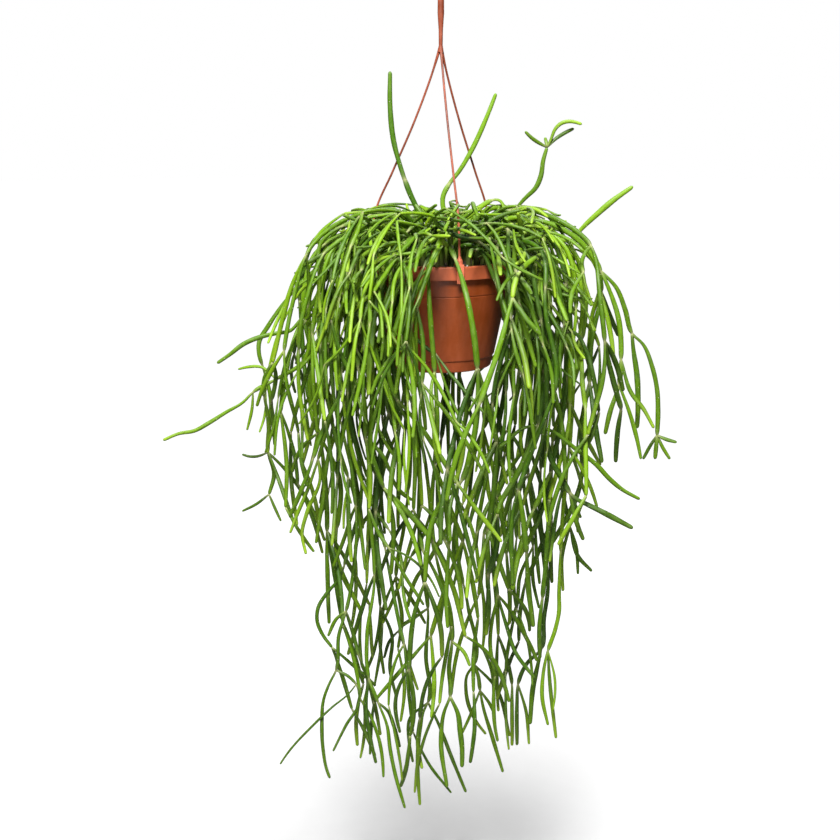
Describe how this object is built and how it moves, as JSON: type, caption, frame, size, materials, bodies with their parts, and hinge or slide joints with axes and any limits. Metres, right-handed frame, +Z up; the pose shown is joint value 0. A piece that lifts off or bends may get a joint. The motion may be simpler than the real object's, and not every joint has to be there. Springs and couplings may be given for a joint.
{
  "type": "potted rhipsalis in a hanging pot",
  "caption": "Trailing rhipsalis with long jointed green stems in a terracotta-coloured plastic hanging pot on a moulded three-strand hook.",
  "frame": {"origin": "the inner top of the hook, where it hangs on its rail", "axes": "+Z up along the hanger's shank and the pot's axis, +X to the right and +Y to the back as the pot is seen from its front"},
  "size_m": [0.5189, 0.3236, 0.951],
  "materials": {
    "terracotta_plastic": "terracotta-coloured moulded plastic with a soft sheen, lighter rim band and a little dust",
    "potting_soil": "dark crumbly potting soil",
    "hanger_plastic": "salmon-orange moulded plastic",
    "stem_green_light": "smooth waxy light green stem skin",
    "stem_green_mid": "smooth waxy mid green stem skin",
    "stem_green_dark": "smooth waxy dark green stem skin"
  },
  "bodies": {
    "root": {"pot": "terracotta_plastic", "soil": "potting_soil", "hanger": "hanger_plastic", "stem_01": "stem_green_light", "stem_02": "stem_green_mid", "stem_03": "stem_green_dark", "stem_04": "stem_green_light", "stem_05": "stem_green_mid", "stem_06": "stem_green_dark", "stem_07": "stem_green_light", "stem_08": "stem_green_mid", "stem_09": "stem_green_dark", "stem_10": "stem_green_light", "stem_11": "stem_green_mid", "stem_12": "stem_green_dark", "stem_13": "stem_green_light", "stem_14": "stem_green_mid", "stem_15": "stem_green_dark", "stem_16": "stem_green_light", "stem_17": "stem_green_mid", "stem_18": "stem_green_dark", "stem_19": "stem_green_light", "stem_20": "stem_green_mid", "stem_21": "stem_green_dark", "stem_22": "stem_green_light", "stem_23": "stem_green_mid", "stem_24": "stem_green_dark", "stem_25": "stem_green_light", "stem_26": "stem_green_mid", "stem_27": "stem_green_dark", "stem_28": "stem_green_light", "stem_29": "stem_green_mid", "stem_30": "stem_green_dark", "stem_31": "stem_green_light", "stem_32": "stem_green_mid", "stem_33": "stem_green_dark", "stem_34": "stem_green_light", "stem_35": "stem_green_mid", "stem_36": "stem_green_dark", "stem_37": "stem_green_light", "stem_38": "stem_green_mid", "stem_39": "stem_green_dark", "stem_40": "stem_green_light", "stem_41": "stem_green_mid", "stem_42": "stem_green_dark", "stem_43": "stem_green_light", "stem_44": "stem_green_mid", "stem_45": "stem_green_dark", "stem_46": "stem_green_light", "stem_47": "stem_green_mid", "stem_48": "stem_green_dark", "stem_49": "stem_green_light", "stem_50": "stem_green_mid", "stem_51": "stem_green_dark", "stem_52": "stem_green_light", "stem_53": "stem_green_mid", "stem_54": "stem_green_dark", "stem_55": "stem_green_light"}
  },
  "joints": []
}
